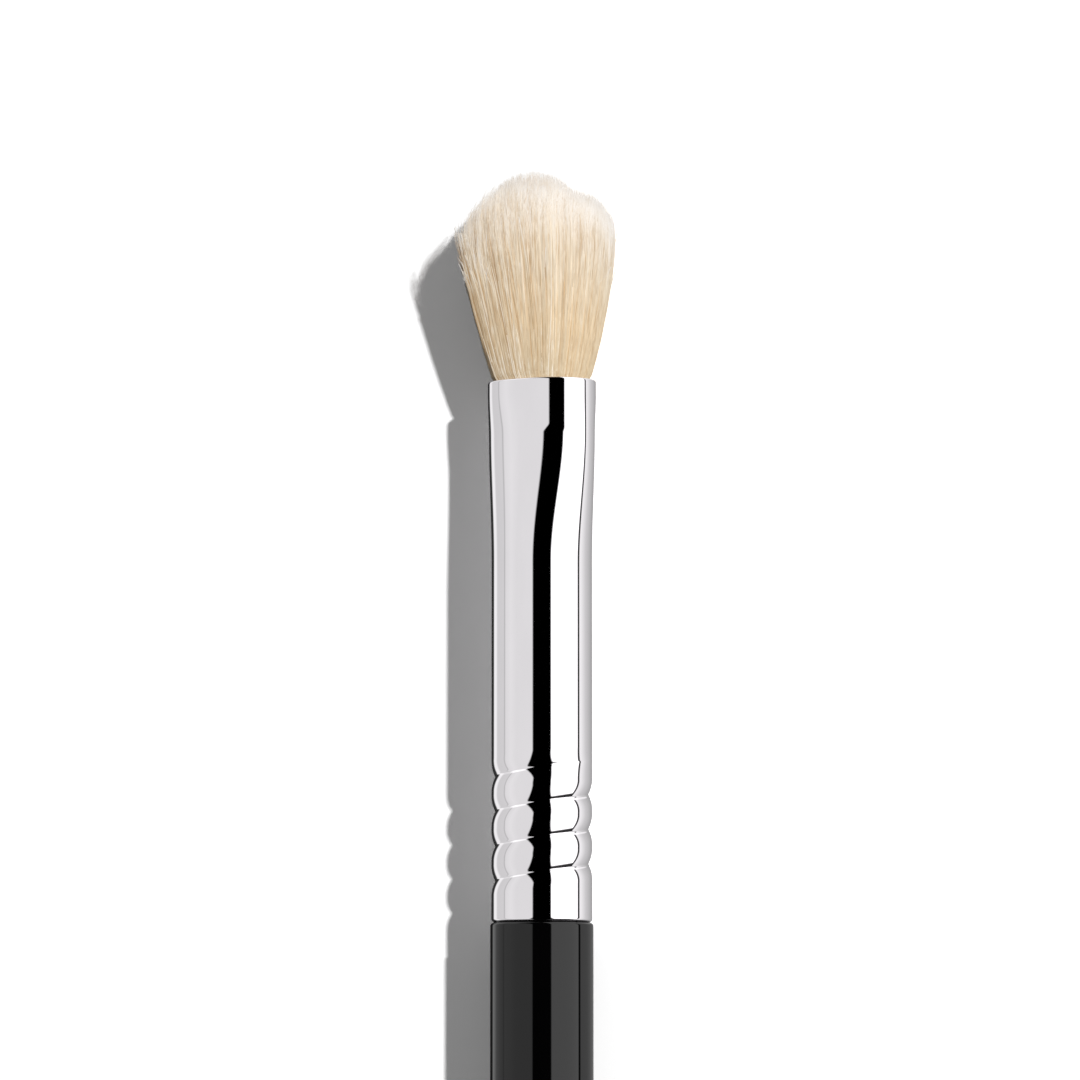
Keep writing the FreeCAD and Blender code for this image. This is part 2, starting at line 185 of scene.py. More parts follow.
DOME_SINK_PLACE = (0.25, 0.3)
DOME_TONE = 0.9

# Tone of the outer hairs, gold at about -1.5 and pale at about 1.25; besides the hairs' random colour it
# carries painted shade and painted light by place in the tuft
SPREAD_AND_PAINTED_SHADE = (1.1, 0.85)           # spread of the tones at the middle, and its growth to the left, which paints the shade between hairs on the side turned from the light
SPREAD_AND_SHADE_RANGE = (0.35, 1.7)
CLUMP_TONE = 0.6
HAIR_TONE = 0.9
# Hairs that lie across the others are pushed to white, a painted glint on them.
CROSSING_PAINTED_GLINT = 3.0
RIGHT_PAINTED_LIGHT = 0.65        # painted light: paler hairs right of the middle, and where
RIGHT_PAINTED_LIGHT_PLACE = (-0.35, 0.25)
LEFT_PAINTED_LIGHT = 0.3          # painted light: paler hairs at the left, which lift the side turned from the light, and where
LEFT_PAINTED_LIGHT_PLACE = (0.1, 0.4)
DEPTH_PAINTED_SHADE = 9.0         # painted shade: hairs with roots beyond this place paler, deeper ones darker
DEPTH_SHADE_PLACE = 0.92

# Shading of the hairs as one soft body
KEY_SHARE = 0.88         # how far it is turned towards the key light, as light spreads in hair
FAR_SHARE = 0.55         # how much more that is on the side away from the light
OWN_SHARE = 0.45         # how far a hair's own roundness shows
FACING_LOW = -1.5        # lowest height from the belly that turns the shading down
FACING_UP = 0.8
LIGHT_DEPTH = 6.0        # length of hair that light still passes through

# Bundle in the ferrule and dense middle of the tuft
BUNDLE_SEED = 77
BUNDLE_COLUMNS = 150
BUNDLE_RADIUS = 2.58
BUNDLE_WAIST = [
    (19.5, 2.4), (19.62, 2.56), (19.9, 2.58), (20.15, 2.25), (20.4, 2.2), (22.2, 2.2),
    (23.8, 2.2), (24.05, 2.25), (24.4, 2.54), (25.5, BUNDLE_RADIUS),
]
BUNDLE_OVAL = (25.5, 10)             # height where it starts to turn oval, and length of the change
BUNDLE_WIDER = 0.8
BUNDLE_FLATTER = 0.14
BUNDLE_RISE = (27.0, FERRULE_LENGTH - 0.5, 16)       # first and last height of the change, and its rings
CORE_TIP = 13.7          # top and share of the width of the dense middle
CORE_SHARE = 0.91
CORE_FOOT = 0.965        # share of the width at the mouth, and height where it ends
CORE_FOOT_HEIGHT = 3
CORE_SIDE_RINGS = 18
CORE_DOME_RINGS = 16
CORE_SHOULDER = 0.4      # gap between the rings of the side and of the dome
CORE_LAST = 1.53         # angle of the last ring of the dome
RIDGE = 0.012
CORE_ALONG = 0.85        # colour of the top, as a share of a hair's length
CORE_TONE_AND_SHADE = (0.6, -1.3)  # spread of the ridges' random colour and its middle, set dark gold as painted shade of the dense middle

# Binding thread
THREAD_RADIUS = 2.445
THREAD_PITCH = 0.85
THREAD_TURNS = 4.0
THREAD_START = 20.39
PLY_RADIUS = 0.088
PLY_SIDES = 6
TWIST_LENGTH = 1.1
THREAD_STEPS = 460

# Places on the maps: sides and caps of ring pieces, and the cells of single hairs
MAP_START = 0.02
MAP_SPAN = 0.9
MAP_SEAM = 0.3           # millimetres that join the last ring to the first one
CAP_CENTRES = (0.1, 0.3)
CAP_LINE = 0.96
CAP_RADIUS = 0.025
CELL_SHAPE = 4           # cells are so much higher than wide
CELL_LEFT = 0.1
CELL_WIDE = 0.8
CELL_LOW = 0.07
CELL_HIGH = 0.86
CELL_ENDS = np.array([(0.1, 0.01), (0.5, 0.01), (0.9, 0.05)])
CELL_END_LINES = (0.0, 0.94)

# Colours of pale and golden hairs from the mouth to the tip
PALE_HAIR = [
    (0.0, (0.70, 0.57, 0.39)), (0.3, (0.74, 0.605, 0.425)), (0.66, (0.77, 0.675, 0.535)),
    (0.88, (0.83, 0.77, 0.69)), (1.0, (0.855, 0.83, 0.80)),
]
GOLD_HAIR = [
    (0.0, (0.545, 0.40, 0.245)), (0.3, (0.53, 0.385, 0.23)), (0.66, (0.535, 0.405, 0.265)),
    (0.88, (0.575, 0.48, 0.36)), (1.0, (0.81, 0.775, 0.74)),
]
# White of the palest hairs, partly painted highlights
WHITE_HAIR_AND_HIGHLIGHT = (0.855, 0.765, 0.635)
WHITE_HIGHLIGHT_TONE = 1.95        # value from which hairs turn white, partly as painted highlights
PALE_SLOPE = 0.36        # how fast gold turns pale with the tone, and the share of pale at tone 0
PALE_SHARE = 0.55
STREAK = 0.12            # shift of the colours along a hair
FLECK = 5.5              # change of tone along a hair
# Colour of the light that a hair lets through, by share of the light depth
HAIR_LIGHT = [(0.0, (0.94, 0.90, 0.84)), (0.3, (0.88, 0.82, 0.74)), (1.0, (0.2, 0.14, 0.08))]

# Camera: turned about the brush, then lowered towards the handle
TURN = math.radians(29.0)
TILT = math.radians(5.5)
PIXELS_PER_MM = 14.06
FRAME_PIXELS = 1080
LENS = 200.0
SENSOR = 36.0
AIM = (0.0, 64.17, AXIS_HEIGHT)
AIM_SHIFT = -0.13        # along the picture, so that the brush stands right of its middle

to_camera = Vector((math.sin(TURN) * math.cos(TILT), -math.sin(TILT), math.cos(TURN) * math.cos(TILT)))
picture_up = Vector((math.sin(TURN) * math.sin(TILT), math.cos(TILT), math.cos(TURN) * math.sin(TILT)))
picture_right = Vector((math.cos(TURN), 0.0, -math.sin(TURN)))
round_front = Vector((math.sin(TURN), 0.0, math.cos(TURN)))

# Light
to_key = Vector((1.14, 0.32, 1.0)).normalized()
KEY_STRENGTH = 2.7
KEY_SIZE = math.radians(1.6)
FILL = 0.16              # light of the world on all that isn't a reflection
FLOOR_HALF = 1.5         # metres
FLOOR_SEEN = 1.54        # colour of the floor for the camera
FLOOR_TONES = (0.90, 0.91)           # its colour for all other light

# Reflections: angle round the brush from the camera's side, and brightness there
WHITEST = 1.6
PANELS = [
    (-180, 0.03), (-146, 0.03), (-140, 0.92), (-130, 0.92), (-122, 0.64), (-98, 0.66), (-96, 0.50),
    (-94.5, 0.50), (-92.5, 0.74), (-76, 0.80), (-60, 0.75), (-2, 0.76), (2, 1.6), (89.5, 1.6),
    (90.5, 0.03), (95.5, 0.03), (97, 0.95), (120, 0.62), (150, 0.42), (180, 0.30),
]
DARK_STRIP = [(-180, 1.0), (-22, 1.0), (-20, 0.0), (20, 0.0), (22, 1.0), (180, 1.0)]
RIGHT_PANEL = [(-180, 0.0), (-2, 0.0), (2, 1.0), (94, 1.0), (96, 0.0), (180, 0.0)]
BOTH_PANELS = [(-180, 0.2), (-104, 0.2), (-92, 1.0), (96, 1.0), (110, 0.5), (180, 0.5)]
LEAST_FACING = 0.3
TAIL_SLOPES = (-0.74, -0.80)         # where the right panel ends towards the tail
TAIL_BRIGHTNESS = 0.02
HEAD_SLOPES = (0.68, 0.74)           # where both panels end towards the tuft
HEAD_BRIGHTNESS = 1.25
STRIP_WIDENING = 0.6     # how much wider the dark strip is at a slope
STRIP_UP = 0.4           # how much more towards the tuft, and how much less of it at the right
STRIP_RIGHT = 1.2
STEEPEST = 0.65
SHIFT_SLOPES = (0.25, 0.6)           # slopes at which the strip's left edge moves, and how far
STRIP_SHIFT = 0.1


# Meshes

def place(points):
    """Points with y measured from the shoulder and z from the middle line, moved to the frame in metres."""
    moved = np.array(points, float)
    moved[..., 1] += SHOULDER
    moved[..., 2] += AXIS_HEIGHT
    return moved * MM


def new_piece(name, points, faces, uv=None, **values):
    """Mesh object from points, arrays of faces, a map with a row per corner and values per point."""
    mesh = bpy.data.meshes.new(name)
    points = np.asarray(points, np.float32)
    loops = np.concatenate([np.asarray(part, np.int32).ravel() for part in faces])
    counts = np.concatenate([np.full(len(part), part.shape[1], np.int32) for part in faces])
    mesh.vertices.add(len(points))
    mesh.vertices.foreach_set("co", points.ravel())
    mesh.loops.add(len(loops))
    mesh.loops.foreach_set("vertex_index", loops)
    mesh.polygons.add(len(counts))
    mesh.polygons.foreach_set("loop_start", np.concatenate([[0], np.cumsum(counts)[:-1]]).astype(np.int32))
    mesh.polygons.foreach_set("use_smooth", np.ones(len(counts), bool))
    mesh.update(calc_edges=True)
    if uv is not None:
        layer = mesh.uv_layers.new(name="OFBake")
        layer.uv.foreach_set("vector", np.asarray(uv, np.float32).ravel())
    for key, value in values.items():
        attribute = mesh.attributes.new(key, "FLOAT", "POINT")
        attribute.data.foreach_set("value", np.asarray(value, np.float32).ravel())
    mesh.validate()
    thing = bpy.data.objects.new(name, mesh)
    bpy.context.collection.objects.link(thing)
    return thing


def cap_map(angle, angle_next, centre):
    """Map of a cap of triangles, the first cap the other way round than the last."""
    one = np.stack([centre + CAP_RADIUS * np.cos(angle), CAP_LINE + CAP_RADIUS * np.sin(angle)], 1)
    two = np.stack([centre + CAP_RADIUS * np.cos(angle_next), CAP_LINE + CAP_RADIUS * np.sin(angle_next)], 1)
    middle = np.tile([[centre, CAP_LINE]], (len(angle), 1))
    corners = [two, one, middle] if centre == CAP_CENTRES[0] else [one, two, middle]
    return np.stack(corners, 1).reshape(-1, 2)


def ring_stack(name, rings, closed=False, **values):
    """Tube of rings, each a row of points round the brush. Its two ends are joined or capped."""
    rows, columns = rings.shape[:2]
    row = np.arange(rows if closed else rows - 1)
    low = row[:, None] * columns + np.arange(columns)
    low_next = row[:, None] * columns + np.roll(np.arange(columns), -1)
    up = (row[:, None] + 1) % rows * columns + np.arange(columns)
    up_next = (row[:, None] + 1) % rows * columns + np.roll(np.arange(columns), -1)
    quads = np.stack([low, low_next, up_next, up], 2).reshape(-1, 4)
    u = np.arange(columns) / columns
    u_next = (np.arange(columns) + 1) / columns
    step = np.linalg.norm(np.diff(rings, axis=0), axis=2).mean(1)
    v = np.concatenate([[0], np.cumsum(np.maximum(step, 1e-6))])
    if closed:
        v = np.concatenate([v, [v[-1] + MAP_SEAM]])
    v = MAP_START + MAP_SPAN * v / v[-1]
    wide = MAP_START + MAP_SPAN * u
    wide_next = MAP_START + MAP_SPAN * u_next
    map_rows = []
    for index in row:
        below = np.full(columns, v[index])
        above = np.full(columns, v[index + 1])
        map_rows.append(np.stack([wide, below, wide_next, below, wide_next, above, wide, above], 1))
    uv = [np.concatenate(map_rows).reshape(-1, 2)]
    faces = [quads]
    points = rings.reshape(-1, 3)
    if not closed:
        ends = np.stack([rings[0].mean(0), rings[-1].mean(0)])
        points = np.concatenate([points, ends])
        near = np.arange(columns)
        near_next = np.roll(near, -1)
        far = (rows - 1) * columns
        first = np.stack([near_next, near, np.full(columns, rows * columns)], 1)
        last = np.stack([far + near, far + near_next, np.full(columns, rows * columns + 1)], 1)
        faces.append(np.concatenate([first, last]))
        uv += [cap_map(2 * math.pi * u, 2 * math.pi * u_next, centre) for centre in CAP_CENTRES]
        values = {key: np.concatenate([np.ravel(value), [np.ravel(value)[0], np.ravel(value)[-1]]])
                  for key, value in values.items()}
    return new_piece(name, place(points), faces, np.concatenate(uv), **values)


def smoothstep(value):
    value = np.clip(value, 0.0, 1.0)
    return value * value * (3 - 2 * value)


def rise(value, start, length):
    """Smooth step from 0 to 1 over a length."""
    return smoothstep((value - start) / length)


def hump(value, middle, width):
    """Smooth hill with a height of 1."""
    return np.exp(-((value - middle) / width) ** 2)


# Handle

def handle_profile():
    """Heights and radii of the coat, from the rounded top edge to the tail."""
    edge_rings, straight_rings, taper_rings, tail_rings = HANDLE_RINGS
    tail_centre = HANDLE_LENGTH - TAIL_RADIUS
    drop = tail_centre - STRAIGHT_LENGTH
    bow = (HANDLE_RADIUS ** 2 + drop ** 2 - TAIL_RADIUS ** 2) / (2 * (HANDLE_RADIUS - TAIL_RADIUS))
    lean = math.atan2(drop, bow - HANDLE_RADIUS)
    inner, floor, rim = [HANDLE_RADIUS - depth for depth in JOINT_DEPTHS]
    profile = [(JOINT_RISE * FOOT_GAP, inner), (JOINT_RISE * FOOT_GAP, floor), (-FOOT_GAP, rim)]
    for angle in np.linspace(math.pi / 2, 0, edge_rings):
        height = -FOOT_GAP + EDGE_RADIUS * (math.sin(angle) - 1)
        profile.append((height, HANDLE_RADIUS - EDGE_RADIUS + EDGE_RADIUS * math.cos(angle)))
    for depth in np.linspace(STRAIGHT_START, STRAIGHT_LENGTH, straight_rings):
        profile.append((-depth, HANDLE_RADIUS))
    for angle in np.linspace(0, lean, taper_rings)[1:]:
        height = -STRAIGHT_LENGTH - bow * math.sin(angle)
        profile.append((height, HANDLE_RADIUS - bow + bow * math.cos(angle)))
    for angle in np.linspace(lean, math.pi / 2, tail_rings)[1:-1]:
        profile.append((-tail_centre - TAIL_RADIUS * math.sin(angle), TAIL_RADIUS * math.cos(angle)))
    profile.append((-HANDLE_LENGTH, TAIL_END))
    return np.array(profile)


def make_handle():
    profile = handle_profile()[::-1]
    angle = np.linspace(0, 2 * math.pi, HANDLE_COLUMNS, endpoint=False)
    rings = np.zeros((len(profile), len(angle), 3))
    rings[..., 0] = profile[:, 1:] * np.sin(angle)
    rings[..., 1] = profile[:, :1]
    rings[..., 2] = profile[:, 1:] * np.cos(angle)
    return ring_stack("handle_coat", rings)


# Ferrule

def tube_radius(height, angle, inset):
    """Radius of the ferrule at a height. The angle is 0 towards +Z and a quarter turn towards +X."""
    pinch = 1 - smoothstep((PINCH_LINE - height) / (PINCH_LINE - BLEND_LINE))
    half_turn = np.mod(angle, math.pi)
    crease = rise(half_turn, *CREASE_START) * (1 - rise(half_turn, *CREASE_END))
    pressed = smoothstep((height - PINCH_LINE + PRESS_START) / (PRESS_LENGTH - CREASE_SHARPNESS * crease))
    half_width = FERRULE_RADIUS + pinch * (PINCHED_WIDTH - FERRULE_RADIUS)
    half_depth = FERRULE_RADIUS + pinch * (PINCHED_DEPTH - FERRULE_RADIUS)
    half_width = half_width + pressed * (PRESSED_WIDTH - half_width) - inset
    half_depth = half_depth + pressed * (PRESSED_DEPTH - half_depth) - inset
    power = 2 + pinch * (PINCHED_POWER - 2)
    power = power + pressed * (PRESSED_POWER - power)
    across = np.abs(np.sin(angle)) / half_width
    through = np.abs(np.cos(angle)) / half_depth
    radius = 1 / np.sqrt(across ** 2 + through ** 2)
    for _ in range(RADIUS_ROUNDS):
        side = (radius * across) ** power
        face = (radius * through) ** 2
        radius = radius - (side + face - 1) * radius / (power * side + 2 * face)
    return radius


def crimp_cut(height, angle):
    """Depth of the rolled spiral below the tube."""
    around = np.mod(np.arctan2(-np.sin(angle), -np.cos(angle)), 2 * math.pi)
    bead = (CRIMP_DEPTH ** 2 + CRIMP_HALF ** 2) / (2 * CRIMP_DEPTH)
    cut = np.zeros(np.broadcast(height, angle).shape)
    for turn in range(math.ceil(CRIMP_TURNS)):
        travel = around / (2 * math.pi) + turn
        line = CRIMP_START + CRIMP_PITCH * travel
        ending = smoothstep((CRIMP_TURNS + CRIMP_OVERRUN - travel) / CRIMP_FADE_OUT)
        fade = smoothstep(travel / CRIMP_FADE_IN) * ending
        away = np.sqrt((height - line) ** 2 + CRIMP_ROUND ** 2)
        inside = np.clip(CRIMP_HALF - away, 0, None)
        depth = (bead - np.sqrt(np.clip(bead ** 2 - inside ** 2, 0, None))) * fade
        cut = np.maximum(cut, depth)
    return cut


def make_ferrule():
    angle = np.linspace(0, 2 * math.pi, FERRULE_COLUMNS, endpoint=False)
    rows = []
    for bend in np.linspace(0, math.pi / 2, EDGE_RINGS):
        height = FOOT_GAP + EDGE_RADIUS - EDGE_RADIUS * math.cos(bend)
        rows.append((height, EDGE_RADIUS * (1 - math.sin(bend))))
    for band in OUTER_BANDS:
        rows += [(height, 0.0) for height in np.arange(*band)]
    lip = FERRULE_WALL / 2
    for bend in np.linspace(0, math.pi, LIP_RINGS):
        rows.append((FERRULE_LENGTH - lip + lip * math.sin(bend), lip - lip * math.cos(bend)))
    for band in INNER_BANDS:
        rows += [(height, FERRULE_WALL) for height in np.arange(*band)]
    rows += [(FOOT_GAP, FERRULE_WALL)]
    height = np.array([row[0] for row in rows])[:, None]
    inset = np.array([row[1] for row in rows])[:, None]
    radius = tube_radius(height, angle[None], inset) - crimp_cut(height, angle[None])
    heights = np.broadcast_to(height, radius.shape)
    rings = np.stack([radius * np.sin(angle), heights, radius * np.cos(angle)], 2)
    return ring_stack("ferrule_tube", rings, closed=True)


# Tuft

def flare_at(height):
    half_width = np.interp(height, FLARE[:, 0], FLARE[:, 1])
    half_depth = np.interp(height, FLARE[:, 0], FLARE[:, 2])
    return half_width, half_depth


def lean_at(height):
    """Sideways lean of the tuft, as it has in the photograph."""
    return LEAN * np.clip(height / BELLY, 0, LEAN_MOST) ** LEAN_POWER


def lateral(across, through, height):
    half_width, half_depth = flare_at(height)
    x = across * half_width + lean_at(height) * picture_right.x
    z = through * half_depth + lean_at(height) * picture_right.z
    return x, np.maximum(z, FLOOR_ROOM - AXIS_HEIGHT)


def leftward(spot):
    """Place in the tuft towards the picture's left."""
    return LEFT_THROUGH * spot[:, 1] - LEFT_ACROSS * spot[:, 0]


def dome_height(spot):
    """Height of the smooth dome over a place in the tuft."""
    spread = DOME_EDGE * (spot[:, 0] ** 2 + np.abs(spot[:, 1]) ** DOME_POWER)
    return BELLY + (TIP - BELLY) * np.sqrt(1 - np.minimum(spread, DOME_EDGE))


def tops_over(spot):
    """Height at which hairs end, from their place in the tuft."""
    out = np.minimum(np.linalg.norm(spot, axis=1), 1.0)
    across, through = spot.T
    uneven = WAVES[0] * np.sin(5.0 * across + 1.1) + WAVES[1] * np.sin(7.0 * through + 4.0 * across)
    left = leftward(spot)
    dips = LEFT_DROP * rise(left, *LEFT_DROP_PLACE) + NOTCH * hump(left, *NOTCH_PLACE)
    return dome_height(spot) + uneven * (1 - out ** 4) - dips


def held_in(spot, most):
    return spot / np.maximum(np.linalg.norm(spot, axis=1) / most, 1.0)[:, None]


def ring_points(base, end, heights, tops, sway, late, crown=None):
    """Points of hairs from base to end. A crown is the height of the dome that they lie down on."""
    along = np.clip(heights / tops[:, None], 0, 1)
    bend = (along ** late[:, None])[..., None]
    wave = np.sin(math.pi * along)[..., None]
    path = base[:, None] + bend * (end - base)[:, None] + wave * sway[:, None]
    if crown is not None:
        climb = np.clip((along * crown[:, None] - BELLY) / (TIP - BELLY), 0, 1)
        room = np.clip((1 - climb ** 2) / DOME_EDGE - path[..., 0] ** 2, 0, None) ** (1 / DOME_POWER)
        path[..., 1] = np.clip(path[..., 1], -room, room)
    x, z = lateral(path[..., 0], path[..., 1], heights)
    return np.stack([x, heights + FERRULE_LENGTH, z], 2), along


def shell_paths(rng, clump, clump_tilt, clump_tone, clump_reach):
    """Middle lines of the outer hairs: points by hair and ring, share of length, tone and thickness."""
    count = SHELL_STRANDS
    owner = rng.integers(0, CLUMPS, count)
    base = held_in(clump[owner] + rng.normal(0, ROOT_SPREAD, (count, 2)), SHELL_EDGE)
    left = leftward(base)
    tilt = clump_tilt[owner] + rng.normal(0, SHELL_TILT, (count, 2))
    tilt[:, 0] -= FAN * hump(left, *FAN_PLACE) * rise(base[:, 1], *FAN_FRONT)
    stray = rng.uniform(0, 1, count) < np.where(left > STRAY_SIDE, *STRAY_SHARES)
    tilt[stray] += rng.normal(0, STRAY_TILT, (int(stray.sum()), 2))
    across = (rng.uniform(0, 1, count) < CROSSING_SHARE) & (base[:, 0] < CROSSING_SIDE)
    turned = np.stack([-base[:, 1], base[:, 0]], 1) * rng.normal(0, CROSSING_TURN, count)[:, None]
    base[across] /= np.linalg.norm(base[across], axis=1, keepdims=True)
    tilt[across] += turned[across]
    gather = rng.uniform(*GATHER, count) * (1 - across)
    end = base + tilt - gather[:, None] * (base - clump[owner])
    end = held_in(end, 1.0)
    crest = end * np.stack([np.ones(count), rng.uniform(*CREST, count)], 1)
    tops = tops_over(crest) + CLUMP_LONGER * clump_reach[owner]
    tops = tops - np.abs(rng.normal(0, SHELL_SHORTER, count)) + SHELL_LONGER
    tops += rise(left, *FRAYED_PLACE) * rng.normal(0, FRAYED, count)
    crown = np.where(stray, 0.0, dome_height(crest))
    tops[stray] = BELLY + rng.uniform(*STRAY_TOPS, int(stray.sum()))
    away = rng.uniform(*STRAY_REACH, count) / np.linalg.norm(end, axis=1)
    end[stray] *= away[stray, None]
    heights = np.concatenate([np.full((count, 1), -ROOT_DEPTH), SHELL_SHARES[None] * tops[:, None]], 1)
    late = np.where(stray, STRAY_LATE, LATE)
    sway = rng.normal(0, SHELL_SWAY, (count, 2))
    points, along = ring_points(base, end, heights, tops, sway, late, crown)
    # Painted shade and light: more spread to the left, paler hairs right of the middle and at the left,
    # darker deeper hairs.
    spread_with_painted_shade = np.clip(SPREAD_AND_PAINTED_SHADE[0] + SPREAD_AND_PAINTED_SHADE[1] * left, *SPREAD_AND_SHADE_RANGE)
    own_tone = HAIR_TONE * rng.normal(0, 1, count)
    tone = spread_with_painted_shade * (CLUMP_TONE * clump_tone[owner] + own_tone) + CROSSING_PAINTED_GLINT * across
    tone += RIGHT_PAINTED_LIGHT * hump(left, *RIGHT_PAINTED_LIGHT_PLACE) + LEFT_PAINTED_LIGHT * rise(left, *LEFT_PAINTED_LIGHT_PLACE)
    tone += DEPTH_PAINTED_SHADE * (np.linalg.norm(base, axis=1) - DEPTH_SHADE_PLACE)
    return points, along, tone, np.where(stray, STRAY_THICK, 1.0)


def dome_paths(rng):
    """Middle lines of the inner hairs where they come out of the dense middle."""
    count = DOME_STRANDS
    out = np.sqrt(rng.uniform(0, DOME_OUT, count))
    angle = rng.uniform(0, 2 * math.pi, count)
    end = np.stack([out * np.cos(angle), out * np.sin(angle)], 1)
    base = held_in(end + rng.normal(0, ROOT_SPREAD, (count, 2)), DOME_ROOTS)
    tops = tops_over(end) - np.abs(rng.normal(0, DOME_SHORTER, count)) + DOME_LONGER
    tops -= DOME_SINK * rise(np.abs(end[:, 1]), *DOME_SINK_PLACE)
    heights = tops[:, None] - DOME_DEPTH * (1 - DOME_SHARES[None])
    late = np.full(count, LATE)
    points, along = ring_points(base, end, heights, tops, rng.normal(0, DOME_SWAY, (count, 2)), late)
    return points, along, rng.normal(0, DOME_TONE, count), np.ones(count)


def tubes(points, radius, sides=SIDES):
    """Tubes along many paths, as rings of points."""
    forward = np.gradient(points, axis=1)
    forward /= np.linalg.norm(forward, axis=2, keepdims=True)
    side = np.cross(forward, np.array([0.0, 0.0, 1.0]))
    side /= np.linalg.norm(side, axis=2, keepdims=True)
    other = np.cross(forward, side)
    angle = np.arange(sides) * 2 * math.pi / sides
    ring = side[:, :, None] * np.cos(angle)[:, None] + other[:, :, None] * np.sin(angle)[:, None]
    return points[:, :, None] + radius[:, :, None, None] * ring


def strand_faces(count, rings):
    """Quads along each hair and a triangle over each end, with a map cell for each hair."""
    strand = np.arange(count)[:, None, None] * rings * SIDES
    row = np.arange(rings - 1)[None, :, None] * SIDES
    column = np.arange(SIDES)[None, None]
    following = (column + 1) % SIDES
    quads = np.stack([strand + row + column, strand + row + following,
                      strand + row + SIDES + following, strand + row + SIDES + column], 3).reshape(-1, 4)
    first = strand[:, 0] + np.array([[2, 1, 0]])
    last = strand[:, 0] + (rings - 1) * SIDES + np.array([[0, 1, 2]])
    cells = math.ceil(math.sqrt(count * CELL_SHAPE))
    lines = math.ceil(count / cells)
    left = (np.arange(count) % cells / cells)[:, None, None]
    low = (np.arange(count) // cells / lines)[:, None, None]
    wide = CELL_WIDE / cells / SIDES
    high = CELL_HIGH / lines / (rings - 1)
    spread = np.zeros((count, rings - 1, SIDES))
    u = left + CELL_LEFT / cells + np.arange(SIDES)[None, None] * wide + spread
    v = low + CELL_LOW / lines + np.arange(rings - 1)[None, :, None] * high + spread
    quad_map = np.stack([u, v, u + wide, v, u + wide, v + high, u, v + high], 3).reshape(-1, 2)
    cell_left = left[:, :, 0] + CELL_ENDS[None, :, 0] / cells
    end_maps = []
    for line in CELL_END_LINES:
        cell_low = low[:, :, 0] + (CELL_ENDS[None, :, 1] + line) / lines
        end_maps.append(np.stack([cell_left, cell_low], 2).reshape(-1, 2))
    return [quads, np.concatenate([first, last])], np.concatenate([quad_map] + end_maps)


def outward(points):
    """Directions away from the middle of the tuft, the way its outside faces."""
    height = points[..., 1] - FERRULE_LENGTH
    half_width, half_depth = flare_at(height)
    facing = np.empty_like(points)
    facing[..., 0] = (points[..., 0] - lean_at(height) * picture_right.x) / half_width ** 2
    facing[..., 1] = np.clip(height - BELLY, FACING_LOW, None) / (TIP - BELLY) ** 2 * FACING_UP
    facing[..., 2] = (points[..., 2] - lean_at(height) * picture_right.z) / half_depth ** 2
    return facing / np.linalg.norm(facing, axis=-1, keepdims=True)


def shade_softly(piece, points, own):
    """Shade a piece of the tuft mostly as the rounded outside of the whole."""
    facing = outward(points)
    key = np.array(to_key)
    far = 1 + FAR_SHARE * np.clip(-(facing @ key), 0, None)[..., None]
    shared = facing + OWN_SHARE * own + KEY_SHARE * far * key
    shared /= np.linalg.norm(shared, axis=-1, keepdims=True)
    piece.data.normals_split_custom_set_from_vertices(shared.reshape(-1, 3))


def strand_piece(name, points, along, tone, radius):
    """One piece of many hairs."""
    count, rings = along.shape
    tube = tubes(points, radius)
    faces, uv = strand_faces(count, rings)
    values = {"along": np.repeat(along, SIDES), "tone": np.repeat(tone, SIDES * rings)}
    piece = new_piece(name, place(tube.reshape(-1, 3)), faces, uv, **values)
    own = tube - points[:, :, None]
    own /= np.linalg.norm(own, axis=3, keepdims=True)
    shade_softly(piece, points[:, :, None], own)
    return piece


def make_strands():
    """Pieces of outer and inner hairs. The first two pieces of outer hairs cast no shadow."""
    rng = np.random.default_rng(HAIR_SEED)
    clump_radius = np.sqrt(rng.uniform(*CLUMP_RING, CLUMPS))
    clump_angle = rng.uniform(0, 2 * math.pi, CLUMPS)
    clump = np.stack([clump_radius * np.cos(clump_angle), clump_radius * np.sin(clump_angle)], 1)
    clump_tilt = rng.normal(0, CLUMP_TILT, (CLUMPS, 2))
    clump_tone = rng.normal(0, 1, CLUMPS)
    clump_reach = rng.normal(0, CLUMP_REACH, CLUMPS)
    shell = shell_paths(rng, clump, clump_tilt, clump_tone, clump_reach)
    dome = dome_paths(rng)
    pieces = []
    for kind, thickest, paths in (("shell", SHELL_RADIUS, shell), ("dome", DOME_RADIUS, dome)):
        points, along, tone, thick = paths
        taper = 1 - TAPER * rise(along, TAPER_START, 1 - TAPER_START) / thick[:, None] ** 2
        radius = thickest * taper * (thick * rng.uniform(*THICKNESS, len(along)))[:, None]
        turn = np.arange(len(along)) % GROUP_TURN
        for index, (first, last) in enumerate(HAIR_GROUPS):
            some = (turn >= first) & (turn <= last)
            name = f"hair_{kind}_{index + 1}"
            piece = strand_piece(name, points[some], along[some], tone[some], radius[some])
            piece.visible_shadow = index == 2 or kind == "dome"
            pieces.append(piece)
    return pieces


